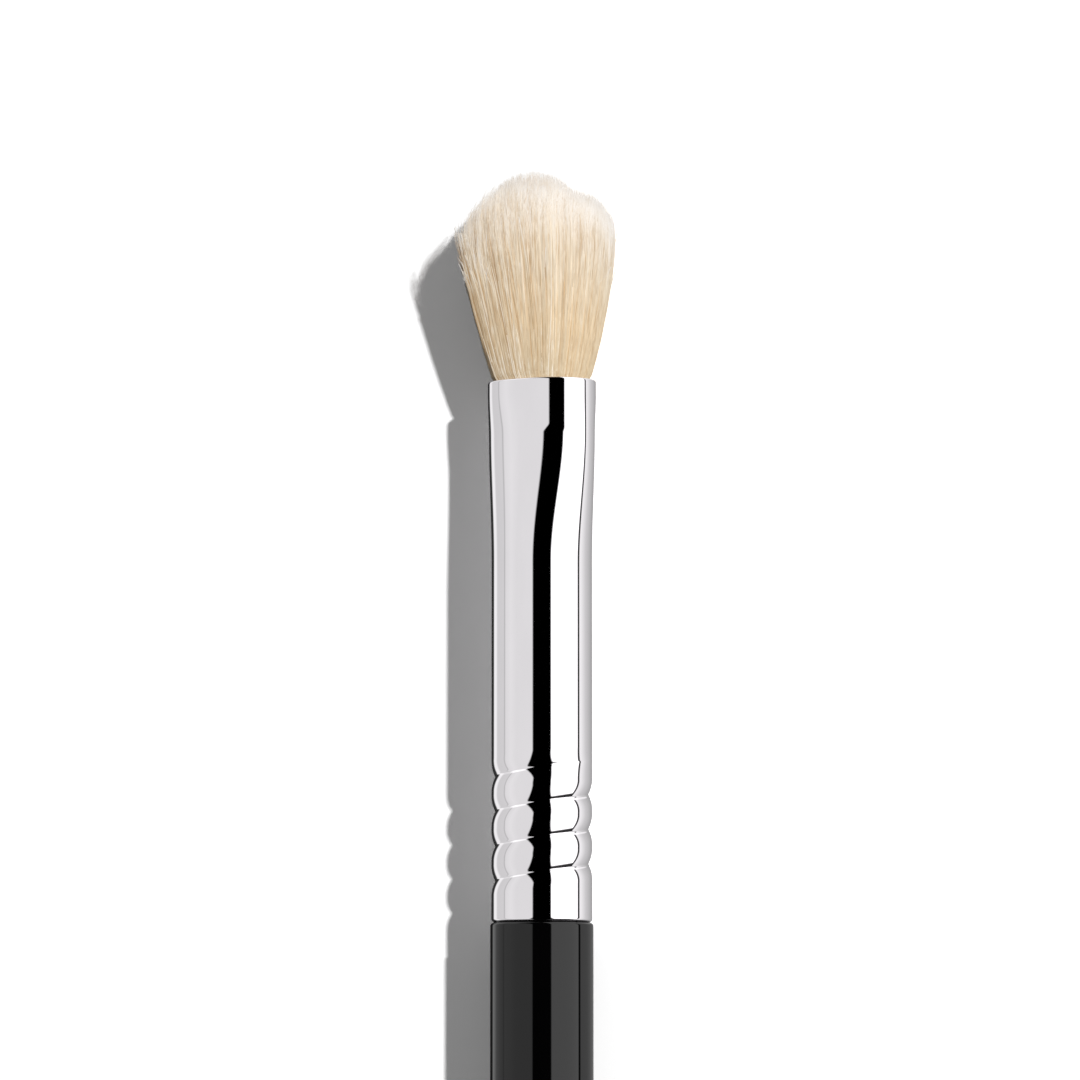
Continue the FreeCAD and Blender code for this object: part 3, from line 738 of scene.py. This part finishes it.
def bundle_rows():
    """Height, half width and half depth of the bundle, and its height above the mouth."""
    rows = [(height, radius, radius, 0.0) for height, radius in BUNDLE_WAIST]
    for height in np.linspace(*BUNDLE_RISE):
        share = rise(height, *BUNDLE_OVAL)
        width = BUNDLE_RADIUS + share * BUNDLE_WIDER
        rows.append((height, width, BUNDLE_RADIUS - share * BUNDLE_FLATTER, 0.0))
    dome = CORE_TIP - BELLY
    side = np.linspace(0, BELLY - CORE_SHOULDER, CORE_SIDE_RINGS)
    top = BELLY + dome * np.sin(np.linspace(0, CORE_LAST, CORE_DOME_RINGS))
    for height in np.concatenate([side, top]):
        half_width, half_depth = flare_at(height)
        closing = math.sqrt(max(1 - (max(height - BELLY, 0) / dome) ** 2, 0.0))
        inner = CORE_FOOT - (CORE_FOOT - CORE_SHARE) * min(height / CORE_FOOT_HEIGHT, 1)
        width = half_width * inner * closing
        rows.append((FERRULE_LENGTH + height, width, half_depth * inner * closing, height))
    return rows


def make_bundle():
    """Tied bundle inside the ferrule and the dense middle of the tuft, with the ridges of its hairs."""
    rng = np.random.default_rng(BUNDLE_SEED)
    angle = np.linspace(0, 2 * math.pi, BUNDLE_COLUMNS, endpoint=False)
    ridge = rng.normal(0, 1, BUNDLE_COLUMNS)
    rough = 1 + RIDGE * ridge
    rows = bundle_rows()
    rings = np.zeros((len(rows), BUNDLE_COLUMNS, 3))
    along = np.zeros((len(rows), BUNDLE_COLUMNS))
    for index, (height, half_width, half_depth, above) in enumerate(rows):
        lean = lean_at(above)
        rings[index, :, 0] = half_width * rough * np.sin(angle) + lean * picture_right.x
        rings[index, :, 1] = height
        rings[index, :, 2] = half_depth * rough * np.cos(angle) + lean * picture_right.z
        along[index] = min(above / TIP, CORE_ALONG)
    # Ridges vary at random; the dense middle is darker as painted shade.
    tone = np.broadcast_to(CORE_TONE_AND_SHADE[0] * ridge + CORE_TONE_AND_SHADE[1], along.shape)
    bundle = ring_stack("hair_bundle", rings, along=along, tone=tone)
    own = np.empty(len(bundle.data.vertices) * 3, np.float32)
    bundle.data.vertices.foreach_get("normal", own)
    points = np.concatenate([rings.reshape(-1, 3), rings[[0, -1]].mean(1)])
    shade_softly(bundle, points, own.reshape(-1, 3))
    return bundle


def make_thread():
    """Two twisted plies wound round the bundle."""
    angle = np.linspace(0, 2 * math.pi * THREAD_TURNS, THREAD_STEPS + 1)
    out = np.stack([np.cos(angle), np.zeros(THREAD_STEPS + 1), np.sin(angle)], 1)
    middle = THREAD_RADIUS * out
    middle[:, 1] = THREAD_START + THREAD_PITCH * angle / (2 * math.pi)
    twist = angle * THREAD_RADIUS / TWIST_LENGTH * 2 * math.pi
    lengthwise = np.array([0.0, 1.0, 0.0])
    offset = out * np.cos(twist)[:, None] + lengthwise * np.sin(twist)[:, None]
    paths = np.stack([middle + PLY_RADIUS * offset, middle - PLY_RADIUS * offset])
    rings = tubes(paths, np.full(paths.shape[:2], PLY_RADIUS), sides=PLY_SIDES)
    return [ring_stack(f"thread_ply_{index + 1}", rings[index]) for index in range(2)]


# Materials

class Nodes:
    """Small helper that adds and links nodes of one tree."""

    def __init__(self, tree):
        self.tree = tree
        tree.nodes.clear()

    def add(self, kind, **settings):
        node = self.tree.nodes.new(kind)
        for key, value in settings.items():
            setattr(node, key, value)
        return node

    def link(self, source, target):
        self.tree.links.new(source, target)

    def math(self, operation, first, second=None):
        node = self.add("ShaderNodeMath", operation=operation)
        for socket, value in zip(node.inputs, (first, second)):
            if value is None:
                continue
            if isinstance(value, (int, float)):
                socket.default_value = value
            else:
                self.link(value, socket)
        return node.outputs[0]

    def ramp(self, factor, stops):
        node = self.add("ShaderNodeValToRGB")
        elements = node.color_ramp.elements
        while len(elements) < len(stops):
            elements.new(0.5)
        for element, (place_on_ramp, colour) in zip(elements, stops):
            element.position = place_on_ramp
            element.color = (*colour, 1.0)
        self.link(factor, node.inputs[0])
        return node.outputs[0]

    def noise(self, vector, scale, detail=3.0, roughness=0.5):
        node = self.add("ShaderNodeTexNoise")
        node.inputs["Scale"].default_value = scale
        node.inputs["Detail"].default_value = detail
        node.inputs["Roughness"].default_value = roughness
        self.link(vector, node.inputs["Vector"])
        return node.outputs[0]

    def stretched(self, factors):
        """Object coordinates scaled along each axis."""
        coordinates = self.add("ShaderNodeTexCoord")
        mapping = self.add("ShaderNodeMapping")
        mapping.inputs["Scale"].default_value = factors
        self.link(coordinates.outputs["Object"], mapping.inputs["Vector"])
        return mapping.outputs[0]

    def span(self, factor, low, high):
        """Value from low to high as the factor goes from 0 to 1."""
        node = self.add("ShaderNodeMapRange")
        node.inputs["To Min"].default_value = low
        node.inputs["To Max"].default_value = high
        self.link(factor, node.inputs["Value"])
        return node.outputs[0]


def grey(value):
    return (value, value, value)


def new_material(name):
    material = bpy.data.materials.new(name)
    material.use_nodes = True
    nodes = Nodes(material.node_tree)
    shader = nodes.add("ShaderNodeBsdfPrincipled")
    output = nodes.add("ShaderNodeOutputMaterial")
    nodes.link(shader.outputs[0], output.inputs["Surface"])
    return material, nodes, shader


def chrome_material():
    material, nodes, shader = new_material("polished_chrome")
    shader.inputs["Metallic"].default_value = 1.0
    cloud = nodes.noise(nodes.stretched((90, 30, 90)), 6.0)
    nodes.link(nodes.ramp(cloud, [(0.3, (0.93, 0.905, 0.93)), (0.7, (0.96, 0.935, 0.96))]),
               shader.inputs["Base Color"])
    fine = nodes.noise(nodes.stretched((900, 160, 900)), 5.0, 4.0)
    nodes.link(nodes.span(fine, 0.025, 0.05), shader.inputs["Roughness"])
    return material


def lacquer_material():
    material, nodes, shader = new_material("black_lacquer")
    shader.inputs["IOR"].default_value = 1.47
    cloud = nodes.noise(nodes.stretched((60, 25, 60)), 5.0)
    nodes.link(nodes.ramp(cloud, [(0.3, (0.0006, 0.0006, 0.0007)), (0.7, (0.0011, 0.001, 0.0011))]),
               shader.inputs["Base Color"])
    fine = nodes.noise(nodes.stretched((300, 120, 300)), 4.0, 4.0)
    nodes.link(nodes.span(fine, 0.03, 0.06), shader.inputs["Roughness"])
    return material


def hair_material():
    """Hair coloured along its length and by tone, which holds random colour, painted shade and painted
    light, with the highest values white as painted highlights. The hair lets some of the light through.
    """
    material, nodes, shader = new_material("cream_hair")
    along = nodes.add("ShaderNodeAttribute", attribute_name="along").outputs["Fac"]
    tone = nodes.add("ShaderNodeAttribute", attribute_name="tone").outputs["Fac"]
    streak = nodes.noise(nodes.stretched((1500, 120, 1500)), 1.0, 2.0)
    shifted = nodes.math("ADD", along, nodes.math("MULTIPLY", nodes.math("SUBTRACT", streak, 0.5), STREAK))
    pale = nodes.ramp(shifted, PALE_HAIR)
    gold = nodes.ramp(shifted, GOLD_HAIR)
    fleck = nodes.noise(nodes.stretched((5200, 520, 5200)), 1.0, 2.0)
    tone = nodes.math("ADD", tone, nodes.math("MULTIPLY", nodes.math("SUBTRACT", fleck, 0.5), FLECK))
    mix = nodes.add("ShaderNodeMix", data_type="RGBA")
    nodes.link(nodes.math("ADD", nodes.math("MULTIPLY", tone, PALE_SLOPE), PALE_SHARE), mix.inputs["Factor"])
    nodes.link(gold, mix.inputs["A"])
    nodes.link(pale, mix.inputs["B"])
    # The palest hairs turn white, partly as painted highlights.
    white = nodes.add("ShaderNodeMix", data_type="RGBA")
    nodes.link(nodes.math("SUBTRACT", tone, WHITE_HIGHLIGHT_TONE), white.inputs["Factor"])
    nodes.link(mix.outputs["Result"], white.inputs["A"])
    white.inputs["B"].default_value = (*WHITE_HAIR_AND_HIGHLIGHT, 1)
    nodes.link(white.outputs["Result"], shader.inputs["Base Color"])
    shader.inputs["Roughness"].default_value = 0.45
    shader.inputs["Specular IOR Level"].default_value = 0.3
    clear = nodes.add("ShaderNodeBsdfTransparent")
    path = nodes.add("ShaderNodeLightPath")
    depth = nodes.math("MULTIPLY", path.outputs["Ray Length"], 1 / (LIGHT_DEPTH * MM))
    nodes.link(nodes.ramp(depth, HAIR_LIGHT), clear.inputs["Color"])
    through = nodes.add("ShaderNodeMixShader")
    surface = shader.outputs[0].links[0].to_socket
    nodes.link(path.outputs["Is Shadow Ray"], through.inputs["Fac"])
    nodes.link(shader.outputs[0], through.inputs[1])
    nodes.link(clear.outputs[0], through.inputs[2])
    nodes.link(through.outputs[0], surface)
    return material


def wood_material():
    material, nodes, shader = new_material("turned_wood")
    grain = nodes.noise(nodes.stretched((700, 24, 700)), 1.0, 5.0, 0.6)
    nodes.link(nodes.ramp(grain, [(0.25, (0.36, 0.21, 0.10)), (0.75, (0.66, 0.47, 0.28))]),
               shader.inputs["Base Color"])
    nodes.link(nodes.span(grain, 0.45, 0.65), shader.inputs["Roughness"])
    return material


def set_material(name, low, high, rough):
    """Hardened glue or resin with cloudy colour."""
    material, nodes, shader = new_material(name)
    cloud = nodes.noise(nodes.stretched((220, 220, 220)), 3.0, 4.0)
    nodes.link(nodes.ramp(cloud, [(0.3, low), (0.7, high)]), shader.inputs["Base Color"])
    nodes.link(nodes.span(cloud, rough, rough + 0.15), shader.inputs["Roughness"])
    return material


def thread_material():
    material, nodes, shader = new_material("waxed_thread")
    fibre = nodes.noise(nodes.stretched((2500, 2500, 2500)), 1.0, 3.0)
    nodes.link(nodes.ramp(fibre, [(0.3, (0.62, 0.60, 0.54)), (0.7, (0.84, 0.82, 0.77))]),
               shader.inputs["Base Color"])
    nodes.link(nodes.span(fibre, 0.5, 0.7), shader.inputs["Roughness"])
    return material


def floor_material():
    """Pale paper that the camera sees as white where the light falls on it."""
    material, nodes, shader = new_material("pale_floor")
    paper = nodes.noise(nodes.stretched((40, 40, 40)), 4.0, 5.0)
    path = nodes.add("ShaderNodeLightPath")
    tint = nodes.add("ShaderNodeMix", data_type="RGBA")
    nodes.link(path.outputs["Is Camera Ray"], tint.inputs["Factor"])
    low, high = FLOOR_TONES
    nodes.link(nodes.ramp(paper, [(0.3, grey(low)), (0.7, grey(high))]), tint.inputs["A"])
    tint.inputs["B"].default_value = (*grey(FLOOR_SEEN), 1)
    nodes.link(tint.outputs["Result"], shader.inputs["Base Color"])
    shader.inputs["Roughness"].default_value = 1.0
    shader.inputs["Specular IOR Level"].default_value = 0.0
    return material


def wear(thing, material):
    thing.data.materials.clear()
    thing.data.materials.append(material)


# Studio

def make_world():
    """Fill for most light, bright panels and dark strips for reflections, and white behind the floor."""
    world = bpy.data.worlds.new("studio")
    bpy.context.scene.world = world
    world.use_nodes = True
    nodes = Nodes(world.node_tree)
    direction = nodes.add("ShaderNodeTexCoord").outputs["Generated"]

    def along(axis):
        node = nodes.add("ShaderNodeVectorMath", operation="DOT_PRODUCT")
        node.inputs[1].default_value = axis
        nodes.link(direction, node.inputs[0])
        return node.outputs["Value"]

    def mixed(factor, first, second):
        node = nodes.add("ShaderNodeMix", data_type="RGBA")
        nodes.link(factor, node.inputs["Factor"])
        for socket, value in (("A", first), ("B", second)):
            if isinstance(value, float):
                node.inputs[socket].default_value = (*grey(value), 1)
            else:
                nodes.link(value, node.inputs[socket])
        return node.outputs["Result"]

    def ring(angle, stops):
        share = nodes.math("ADD", nodes.math("DIVIDE", angle, 2 * math.pi), 0.5)
        return nodes.ramp(share, [((degrees + 180) / 360, grey(value)) for degrees, value in stops])

    def between(value, low, high):
        node = nodes.add("ShaderNodeMapRange")
        node.inputs["From Min"].default_value = low
        node.inputs["From Max"].default_value = high
        nodes.link(value, node.inputs["Value"])
        return node.outputs[0]

    around = nodes.math("ARCTAN2", along(picture_right), along(round_front))
    lengthwise = along((0.0, 1.0, 0.0))
    panels = ring(around, [(angle, value / WHITEST) for angle, value in PANELS])
    facing = nodes.math("MAXIMUM", nodes.math("COSINE", nodes.math("DIVIDE", around, 2.0)), LEAST_FACING)
    slope = nodes.math("DIVIDE", nodes.math("SUBTRACT", lengthwise, math.sin(TILT)), facing)
    tail_end = nodes.math("MULTIPLY", between(slope, *TAIL_SLOPES), ring(around, RIGHT_PANEL))
    panels = mixed(tail_end, panels, TAIL_BRIGHTNESS)
    head_end = nodes.math("MULTIPLY", between(slope, *HEAD_SLOPES), ring(around, BOTH_PANELS))
    panels = mixed(head_end, panels, HEAD_BRIGHTNESS / WHITEST)
    upwards = nodes.math("GREATER_THAN", slope, 0.0)
    rightwards = nodes.math("GREATER_THAN", around, 0.0)
    change = nodes.math("SUBTRACT", STRIP_UP, nodes.math("MULTIPLY", rightwards, STRIP_RIGHT))
    widening = nodes.math("ADD", nodes.math("MULTIPLY", upwards, change), STRIP_WIDENING)
    steepness = nodes.math("MINIMUM", nodes.math("MULTIPLY", slope, slope), STEEPEST)
    squeeze = nodes.math("SUBTRACT", 1.0, nodes.math("MULTIPLY", widening, steepness))
    flare = nodes.math("MULTIPLY", between(slope, *SHIFT_SLOPES), nodes.math("SUBTRACT", 1.0, rightwards))
    shift = nodes.math("MULTIPLY", flare, STRIP_SHIFT)
    strip = ring(nodes.math("ADD", nodes.math("MULTIPLY", around, squeeze), shift), DARK_STRIP)
    masked = nodes.add("ShaderNodeVectorMath", operation="MULTIPLY")
    nodes.link(panels, masked.inputs[0])
    nodes.link(strip, masked.inputs[1])
    brightness = nodes.add("ShaderNodeVectorMath", operation="SCALE")
    brightness.inputs["Scale"].default_value = WHITEST
    nodes.link(masked.outputs[0], brightness.inputs[0])
    path = nodes.add("ShaderNodeLightPath")
    shiny = mixed(path.outputs["Is Glossy Ray"], FILL, brightness.outputs[0])
    direct = nodes.math("MAXIMUM", path.outputs["Is Camera Ray"], path.outputs["Is Transmission Ray"])
    background = nodes.add("ShaderNodeBackground")
    nodes.link(mixed(direct, shiny, 1.0), background.inputs["Color"])
    output = nodes.add("ShaderNodeOutputWorld")
    nodes.link(background.outputs[0], output.inputs["Surface"])


def make_floor():
    corners = [(-1, -1, 0), (1, -1, 0), (1, 1, 0), (-1, 1, 0)]
    floor = new_piece("floor", FLOOR_HALF * np.array(corners), [np.array([[0, 1, 2, 3]])])
    wear(floor, floor_material())
    floor.visible_glossy = False


def make_sun():
    lamp = bpy.data.lights.new("key", "SUN")
    lamp.energy = KEY_STRENGTH
    lamp.angle = KEY_SIZE
    sun = bpy.data.objects.new("key", lamp)
    sun.rotation_euler = to_key.to_track_quat("Z", "Y").to_euler()
    sun.visible_glossy = False
    bpy.context.collection.objects.link(sun)


def make_camera():
    data = bpy.data.cameras.new("camera")
    data.lens = LENS
    data.sensor_width = SENSOR
    data.sensor_fit = "HORIZONTAL"
    data.clip_start = 0.01
    data.clip_end = 10.0
    distance = FRAME_PIXELS / PIXELS_PER_MM * LENS / SENSOR * MM
    camera = bpy.data.objects.new("camera", data)
    aim = (Vector(AIM) + picture_right * AIM_SHIFT) * MM
    turn = Matrix((picture_right, picture_up, to_camera)).transposed().to_4x4()
    camera.matrix_world = Matrix.Translation(aim + to_camera * distance) @ turn
    bpy.context.collection.objects.link(camera)
    bpy.context.scene.camera = camera


# Build

make_camera()
make_world()
make_sun()
make_floor()

chrome = chrome_material()
hair = hair_material()

handle = make_handle()
wear(handle, lacquer_material())
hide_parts("handle_lacquer")
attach(handle, "brush")

ferrule = make_ferrule()
wear(ferrule, chrome)
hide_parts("ferrule")
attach(ferrule, "brush")

thread = thread_material()
for ply in make_thread():
    wear(ply, thread)
    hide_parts("binding_thread")
    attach(ply, "brush")

bundle = make_bundle()
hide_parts("hair_root", "hair_head")
strands = make_strands()
for piece in [bundle] + strands:
    wear(piece, hair)
    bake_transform(piece)
for piece in strands:
    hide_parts("hair_head")

wear(nodes_of_frame["handle_core"], wood_material())
wear(nodes_of_frame["tenon_glue"], set_material("set_glue", (0.62, 0.50, 0.28), (0.76, 0.66, 0.44), 0.3))
wear(nodes_of_frame["epoxy_plug"], set_material("set_resin", (0.55, 0.39, 0.16), (0.70, 0.54, 0.28), 0.15))

bpy.context.scene.view_settings.view_transform = "Standard"

bpy.context.view_layer.update()
